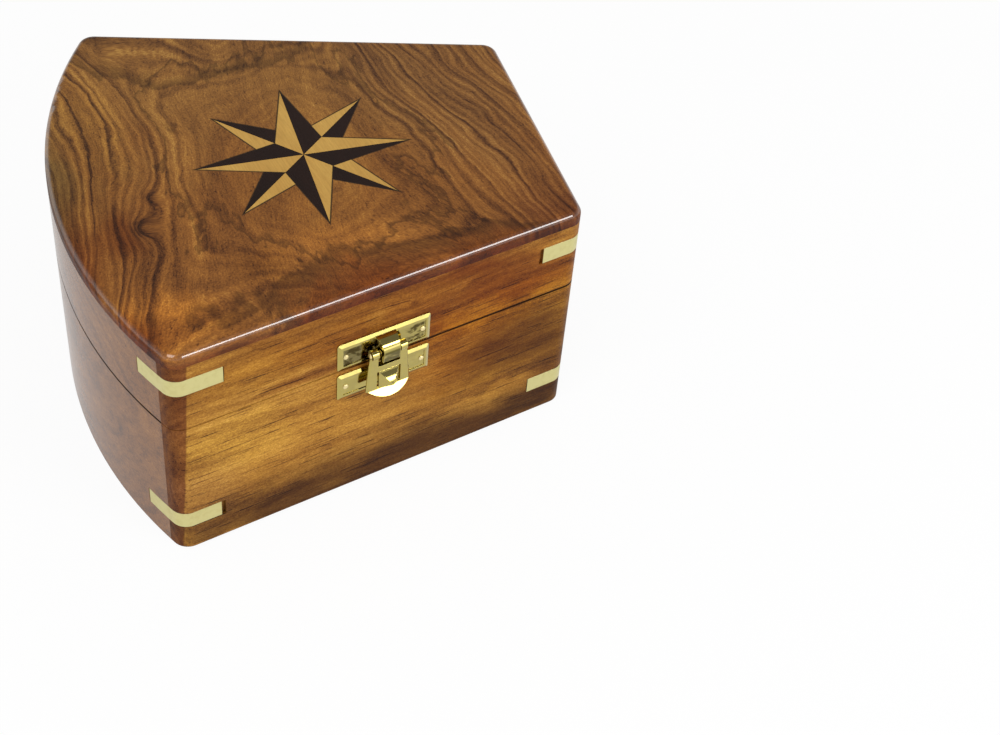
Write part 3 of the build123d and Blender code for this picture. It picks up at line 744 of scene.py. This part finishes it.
class CaseSizes(bpy.types.PropertyGroup):
    """Sizes of the fittings that are made here."""

    felt_round: bpy.props.FloatProperty(
        name="Felt edge", description="Rounding along the edge of the felt", subtype="DISTANCE",
        unit="LENGTH", min=0.0002, max=0.0014, default=0.0008)
    pin_dome: bpy.props.FloatProperty(
        name="Pin dome", description="Height of a plate pin's head", subtype="DISTANCE",
        unit="LENGTH", min=0.0001, max=0.0007, default=0.0005)
    screw_head: bpy.props.FloatProperty(
        name="Screw head", description="Radius of a hinge screw's head", subtype="DISTANCE",
        unit="LENGTH", min=0.0005, max=0.0012, default=0.001)


class CaseStage(bpy.types.PropertyGroup):
    """Camera and light."""

    lens: bpy.props.FloatProperty(
        name="Lens", description="Focal length on a 36 mm sensor", min=20.0, max=200.0,
        default=63.7)
    key: bpy.props.FloatProperty(
        name="Key lamp", description="Power of the large soft lamp", unit="POWER",
        min=0.0, max=100.0, default=5.2)
    front: bpy.props.FloatProperty(
        name="Front lamp", description="Power of the upper lamp in front", unit="POWER",
        min=0.0, max=100.0, default=4.3)
    fill: bpy.props.FloatProperty(
        name="Fill", description="Strength of the even light from all round",
        min=0.0, max=2.0, default=0.47)


# ---------------------------------------------------------------- operators
class CASE_OT_stage(bpy.types.Operator):
    """Sets up the camera, the lamps, the world and the floor"""

    bl_idname = "case.stage"
    bl_label = "Stage"

    def execute(self, context):
        settings = context.scene.case_stage
        self.set_camera(context.scene, settings.lens)
        self.lay_floor(context.scene)
        self.hang_lamps(context.scene, settings.key, settings.front)
        self.light_world(context.scene, settings.fill)
        context.scene.view_settings.view_transform = "Standard"
        return {"FINISHED"}

    def set_camera(self, scene, lens):
        """Camera of the rest view, whose axes were fitted to the outline of the case."""
        camera = bpy.data.objects.new("camera", bpy.data.cameras.new("camera"))
        scene.collection.objects.link(camera)
        camera.data.sensor_width = 36.0
        camera.data.lens = lens
        camera.data.shift_x = 0.0864
        camera.data.shift_y = 0.005
        camera.data.clip_start = 0.01
        camera.data.clip_end = 20.0
        right = Vector((0.9612, -0.2729, 0.0398)).normalized()
        ahead = Vector((0.2213, 0.6769, -0.7020)).normalized()
        above = right.cross(ahead).normalized()
        right = ahead.cross(above).normalized()
        turn = Matrix((right, above, -ahead)).transposed().to_4x4()
        camera.matrix_world = Matrix.Translation((-0.1018, -0.44023, 0.43299)) @ turn
        scene.camera = camera

    def lay_floor(self, scene):
        """Floor that is nearly even white to the camera and greyer in mirrors."""
        half, drop = 3.0, 0.0001
        corners = [(x * half, y * half, -drop) for x, y in ((-1, -1), (1, -1), (1, 1), (-1, 1))]
        mesh = bpy.data.meshes.new("floor")
        mesh.from_pydata(corners, [], [(0, 1, 2, 3)])
        floor = bpy.data.objects.new("floor", mesh)
        scene.collection.objects.link(floor)
        finish = Finish("floor", {
            "Base Color": WHITE, "Roughness": 0.9, "Specular IOR Level": 0.1})
        white = finish.node("Emission", {}, {"Color": WHITE, "Strength": 1.0}).outputs[0]
        share = finish.seen("Camera") * 0.93 + finish.seen("Glossy", "Transmission") * 0.45
        mixed = finish.node("MixShader", {}, {0: share, 1: finish.shader.outputs[0], 2: white})
        finish.join(mixed.outputs[0], finish.output.inputs, "Surface")
        mesh.materials.append(finish.material)

    def hang_lamps(self, scene, key, front):
        """A big soft lamp overhead and two wide ones in front, mirrored by brass and edges."""
        ahead = (0.618, -0.764)
        for name, place, target, width, height, power in (
            ("key_lamp", (-0.55, -0.55, 1.05), (0.0, 0.0, 0.04), 0.7, 0.7, key),
            ("front_lamp", (*ahead, 0.59), (0.0, -0.068, 0.30), 0.50, 0.28, front),
            ("low_lamp", (*ahead, 0.13), (0.0, -0.068, 0.13), 0.50, 0.24, front * 0.13),
        ):
            lamp = bpy.data.objects.new(name, bpy.data.lights.new(name, "AREA"))
            lamp.data.shape = "RECTANGLE"
            lamp.data.size = width
            lamp.data.size_y = height
            lamp.data.energy = power
            lamp.location = place
            aim = Vector(target) - Vector(place)
            lamp.rotation_euler = aim.to_track_quat("-Z", "Y").to_euler()
            lamp.visible_camera = False
            scene.collection.objects.link(lamp)

    def light_world(self, scene, fill):
        """Even light from all round; seen directly it is white, mirrored it is greyer overhead."""
        world = bpy.data.worlds.new("studio")
        scene.world = world
        world.use_nodes = True
        sky = Nodes(world.node_tree)

        def background(colour, strength):
            values = {"Color": colour, "Strength": strength}
            return sky.node("Background", {}, values).outputs[0]

        coords = sky.node("TexCoord", {}, {}).outputs["Generated"]
        height = sky.node("SeparateXYZ", {}, {"Vector": coords}).outputs[2]
        ceiling = sky.node("ValToRGB", {"stops": [(0.10, 1.0), (0.50, 0.26)]}, {"Fac": height})
        either = sky.node("MixShader", {}, {
            0: sky.seen("Glossy", "Transmission"), 1: background(WHITE, fill),
            2: background(ceiling.outputs[0], 1.0)})
        shown = sky.node("MixShader", {}, {
            0: sky.seen("Camera"), 1: either.outputs[0], 2: background(WHITE, 1.0)})
        sky.node("OutputWorld", {}, {"Surface": shown.outputs[0]})


class CASE_OT_boards(bpy.types.Operator):
    """Gives every board its own lacquered rosewood figure"""

    bl_idname = "case.boards"
    bl_label = "Boards"

    def execute(self, context):
        looks = context.scene.case_looks
        top_tones = [
            *TOP_DARKEST, tuple(looks.wood_dark), tuple(looks.wood_middle), tuple(looks.wood_light)]
        top_patches = [
            ((along, across, TOP_LEVEL), (reach_along, reach_across, PATCH_DEPTH), *look)
            for along, across, reach_along, reach_across, *look in TOP_PATCHES]
        front_patches = [
            ((along, FRONT_ACROSS, up), (reach_along, PATCH_DEPTH, reach_up), tint)
            for along, up, reach_along, reach_up, tint in FRONT_PATCHES]

        dress(rosewood(
            "rosewood_top", top_figure, top_tones, seed=4.0, spacing=4.1, lacquer=looks.lacquer,
            level=0.66, lines=0.46, bands=0.95, band_width=0.07, streaky=0.6, fineness=1.8,
            wild=0.85, pore=(0.45, 1.7, 0.18), patches=[*top_patches, TOP_FOOT_SHADE], star=True,
        ), "lid_top_board")
        dress(rosewood(
            "rosewood_front",
            lambda finish: board_figure(finish, TAPER, (-120.0, 30.0), knots=FRONT_KNOTS),
            FRONT_TONES, seed=11.0, spacing=5.5, lacquer=looks.lacquer * 0.24, level=0.66,
            lines=0.24, bands=1.05, band_width=0.12, fineness=2.4, patches=front_patches,
            strip=-76.0, open_from=-18.0,
        ), "base_front_wall", "lid_front_wall")
        dress(rosewood(
            "rosewood_ends",
            lambda finish: board_figure(finish, radians(90), (130.0, 44.0), 0.03),
            END_TONES, seed=23.0, spacing=5.5, lacquer=looks.lacquer * 1.6, level=0.57,
            lines=0.2, bands=0.7, band_width=0.09, pore=(0.07, 2.4, 0.2),
        ), "base_wide_end_wall", "lid_wide_end_wall", "base_narrow_end_wall", "lid_narrow_end_wall")
        dress(rosewood(
            "rosewood_back",
            lambda finish: board_figure(finish, -TAPER, (120.0, 34.0), 0.03),
            FRONT_TONES, seed=31.0, spacing=5.5, lacquer=looks.lacquer,
            lines=0.35, bands=0.7, band_width=0.08,
        ), "base_back_wall", "lid_back_wall")
        dress(rosewood(
            "rosewood_floor",
            lambda finish: board_figure(finish, 0.0, (0.0, -40.0)),
            top_tones, seed=37.0, spacing=5.0, lacquer=looks.lacquer, level=0.5,
        ), "base_floor_board")
        return {"FINISHED"}


class CASE_OT_inlay(bpy.types.Operator):
    """Finishes the light and the dark half of each ray of the star"""

    bl_idname = "case.inlay"
    bl_label = "Star inlay"

    def execute(self, context):
        looks = context.scene.case_looks
        for name, tone, dark, seed, outline, node in (
            ("inlay_light", looks.inlay_light, shade(170, 118, 52), 2.0, True, "star_light_inlay"),
            ("inlay_dark", looks.inlay_dark, shade(20, 12, 8), 6.0, False, "star_dark_inlay"),
        ):
            dress(inlay_finish(name, tuple(tone), dark, seed, outline), node)
        return {"FINISHED"}


class CASE_OT_brass(bpy.types.Operator):
    """Finishes the straps, the latch and the hinges"""

    bl_idname = "case.brass"
    bl_label = "Brass"

    def execute(self, context):
        looks = context.scene.case_looks
        strap = brass_finish(
            "strap_brass", tuple(looks.strap), (0.60, 0.53, 0.22),
            roughness=0.24, scale=0.5, brush=1.0)
        latch = brass_finish(
            "latch_brass", tuple(looks.latch), (0.40, 0.31, 0.10),
            roughness=0.07, scale=0.3, brush=0.2, coat=0.5, latch=True)
        hinge = brass_finish(
            "hinge_brass", (0.72, 0.57, 0.27), (0.5, 0.37, 0.17),
            roughness=0.24, scale=0.6, brush=1.0)
        nodes = frame["nodes"]
        dress(strap, *[name for name in nodes if "_strap_" in name])
        dress(latch, *[name for name in nodes if name.startswith("latch_")])
        dress(hinge, *[name for name in nodes if name.startswith("hinge_")])
        return {"FINISHED"}


def dome(radius, height, steps=8):
    """Profile of a spherical cap from its rim to its pole: height (cos s), radius (sin s)."""
    return [(height * cos(s), radius * sin(s)) for s in np.linspace(pi / 2, 0, steps)]


class CASE_OT_pins(bpy.types.Operator):
    """Makes the round-headed plate pins and the hasp's hinge pin with its domed buttons"""

    bl_idname = "case.pins"
    bl_label = "Latch pins"

    def execute(self, context):
        height = context.scene.case_sizes.pin_dome
        plain_brass = bpy.data.materials["latch_brass"]  # the CAD's own, without the latch's stains and painted shade
        wall_face = PIVOT - OUT * 2.85 * MM
        pin_spacing, seat, shank, head = 27.0 * MM, 0.65 * MM, 0.5 * MM, 0.95 * MM
        profile = [
            (-5.0 * MM, 0.0), (-5.0 * MM, 0.35 * MM), (-4.6 * MM, shank), (seat, shank),
            (seat, 0.93 * MM), (seat + 0.03 * MM, head)]
        profile += [(seat + 0.03 * MM + a, r) for a, r in dome(head, height - 0.03 * MM)[1:]]
        for node, body in (("latch_upper_plate_pins", "lid"), ("latch_lower_plate_pins", "base")):
            low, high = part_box(node)
            forms = []
            for side in (-1, 1):
                foot = wall_face + ALONG * side * pin_spacing / 2
                foot[2] = (low.z + high.z) / 2
                forms.append(turned_form(profile, foot, OUT, UP))
            make_piece(node.replace("pins", "domed_pins"), *joined(forms), body, "latch_brass",
                       plain_brass, (node,))

        # The hasp's pin: a shaft through the hood with a button at each end, from end to end
        half, shaft = 6.8, 0.65
        button = [(0.0, 0.0), (0.05, 0.35), (0.16, 0.7), (0.36, 0.93), (0.5, 1.0), (0.58, 0.98),
                  (0.6, shaft)]
        end = [((a - half) * MM, r * MM) for a, r in button]
        profile = end + [(-a, r) for a, r in reversed(end)]
        make_piece("latch_hinge_domed_pin", *turned_form(profile, PIVOT, ALONG, UP), "lid",
                   "latch_brass", plain_brass, ("latch_hinge_pin",))
        return {"FINISHED"}


def screw_head(centre, across, along, up, radius, proud):
    """Slotted head: (u, v) of the disc goes to centre + radius (u across + y along) + z up.

    y is v sqrt(1 - u^2), and z is a low dome, proud (1 - 0.8 r^2), less the slot's depth where
    |u| is under 0.16.
    """
    slot, depth, sunk = 0.16, 0.75 * proud, 0.4 * MM
    u = np.array([-1, -0.97, -0.9, -0.8, -0.65, -0.5, -0.35, -0.22, -0.161, -0.16, -0.159, -0.1, 0])
    u = np.concatenate([u, -u[-2::-1]])
    grid_u, grid_v = np.meshgrid(u, np.linspace(-1, 1, 21), indexing="ij")
    y = grid_v * np.sqrt(np.clip(1 - grid_u**2, 0.0004, 1))
    z = proud * (1 - 0.8 * (grid_u**2 + y**2)) - np.where(np.abs(grid_u) < slot, depth, 0.0)
    disc = centre + radius * (grid_u[..., None] * across + y[..., None] * along)
    return slab(disc + z[..., None] * up, disc - sunk * up)[:2]


class CASE_OT_screws(bpy.types.Operator):
    """Makes the slotted screws of the hinges"""

    bl_idname = "case.screws"
    bl_label = "Hinge screws"

    def execute(self, context):
        radius = context.scene.case_sizes.screw_head
        plain_brass = bpy.data.materials["hinge_brass"]  # the CAD's own
        inwards, leaf_face = 2.7 * MM, 0.15 * MM  # both from the line of the hinges
        for name, body, side, spacing in (
            ("hinge_base_screws", "base", -1, 17.0), ("hinge_lid_screws", "lid", 1, 6.0),
        ):
            forms = []
            for hinge in (-38.0, 38.0):
                for place in (hinge - spacing / 2, hinge + spacing / 2):
                    spot = HINGE_LINE + BACK_ALONG * place * MM
                    spot = spot - BACK_OUT * inwards + UP * side * leaf_face
                    turn = 0.4 + 1.7 * place
                    across = BACK_ALONG * cos(turn) + BACK_OUT * sin(turn)
                    up = -side * UP
                    along = np.cross(up, across)
                    forms.append(screw_head(spot, across, along, up, radius, 0.1 * MM))
            make_piece(name, *joined(forms), body, "hinge_brass", plain_brass)
        return {"FINISHED"}


def felt_sheet(inset, low, high, soft_up, edge):
    """Felt cut to the case: a ruled sheet between the bow's arc and the narrow end's line.

    Point (u, v) lies at (1-u) B(v) + u N(v), where B goes round the arc and N along the end.
    Its thickness falls away by edge along the rim as a quarter round, and the nap makes it
    wander by a few hundredths of a millimetre.  Returns the points, the faces and the area.
    """
    nap = 0.00004
    angle, centre, radius, narrow, narrow_half = plan_outline(inset)
    u = (1 - np.cos(np.linspace(0, pi, 72))) / 2
    v = -np.cos(np.linspace(0, pi, 72))
    grid_u, grid_v = np.meshgrid(u, v, indexing="ij")
    turn = angle * grid_v
    arc = np.stack([centre - radius * np.cos(turn), radius * np.sin(turn)], -1)
    end = np.stack([np.full_like(grid_u, narrow), narrow_half * grid_v], -1)
    flat = ((1 - grid_u)[..., None] * arc + grid_u[..., None] * end) * MM
    length = narrow - (centre - radius)
    half = narrow_half + (1 - grid_u) * (radius * sin(angle) - narrow_half)
    rim = np.minimum.reduce([
        grid_u * length, (1 - grid_u) * length, (1 - np.abs(grid_v)) * half]) * MM
    fall = edge * (1 - np.sqrt(np.clip(1 - (1 - np.clip(rim / edge, 0, 1)) ** 2, 0, 1)))
    wander = nap * np.sin(flat[..., 0] * 310) * np.sin(flat[..., 1] * 270)
    soft = high - fall - 0.00005 + wander if soft_up else low + fall + 0.00005 + wander
    hard = np.full_like(soft, low if soft_up else high)
    upper, lower = (soft, hard) if soft_up else (hard, soft)
    points, faces, border = slab(np.dstack([flat, upper]), np.dstack([flat, lower]))
    x, y = flat.reshape(-1, 2)[border].T
    area = abs(float(np.sum(x * np.roll(y, -1) - np.roll(x, -1) * y))) / 2
    return points, faces, area


class CASE_OT_felt(bpy.types.Operator):
    """Lays the felt on the floor and under the lid"""

    bl_idname = "case.felt"
    bl_label = "Felt lining"

    def execute(self, context):
        edge = context.scene.case_sizes.felt_round
        material = felt_finish("felt", tuple(context.scene.case_looks.felt))
        for node, body, soft_up, held, on in (
            ("floor_lining", "base", True, "laid", "base_floor_board"),
            ("lid_lining", "lid", False, "stretched", "lid_top_board"),
        ):
            low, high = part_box(node)
            points, faces, area = felt_sheet(FELT_INSET, low.z, high.z, soft_up, edge)
            piece = make_piece(
                node.replace("lining", "felt"), points, faces, body, "felt", material, (node,))
            dress(material, node)
        return {"FINISHED"}


class CASE_PT_panel(bpy.types.Panel):
    """Lists the settings and the steps of the case"""

    bl_idname = "CASE_PT_panel"
    bl_label = "Instrument case"
    bl_space_type = "VIEW_3D"
    bl_region_type = "UI"
    bl_category = "Case"

    def draw(self, context):
        for group in (context.scene.case_looks, context.scene.case_sizes, context.scene.case_stage):
            box = self.layout.box()
            for name in group.bl_rna.properties.keys():
                if name not in ("rna_type", "name"):
                    box.prop(group, name)
        for step in STEPS:
            self.layout.operator(step.bl_idname)


STEPS = (
    CASE_OT_stage, CASE_OT_boards, CASE_OT_inlay, CASE_OT_brass, CASE_OT_pins, CASE_OT_screws,
    CASE_OT_felt,
)
GROUPS = (("case_looks", CaseLooks), ("case_sizes", CaseSizes), ("case_stage", CaseStage))


def register():
    for cls in (*(group for _, group in GROUPS), *STEPS, CASE_PT_panel):
        bpy.utils.register_class(cls)
    for name, group in GROUPS:
        setattr(bpy.types.Scene, name, bpy.props.PointerProperty(type=group))


def unregister():
    for name, _ in GROUPS:
        delattr(bpy.types.Scene, name)
    for cls in (CASE_PT_panel, *reversed(STEPS), *(group for _, group in reversed(GROUPS))):
        bpy.utils.unregister_class(cls)


def main():
    register()
    for step in STEPS:
        group, name = step.bl_idname.split(".")
        getattr(getattr(bpy.ops, group), name)()
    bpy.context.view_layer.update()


if __name__ == "__main__":
    main()
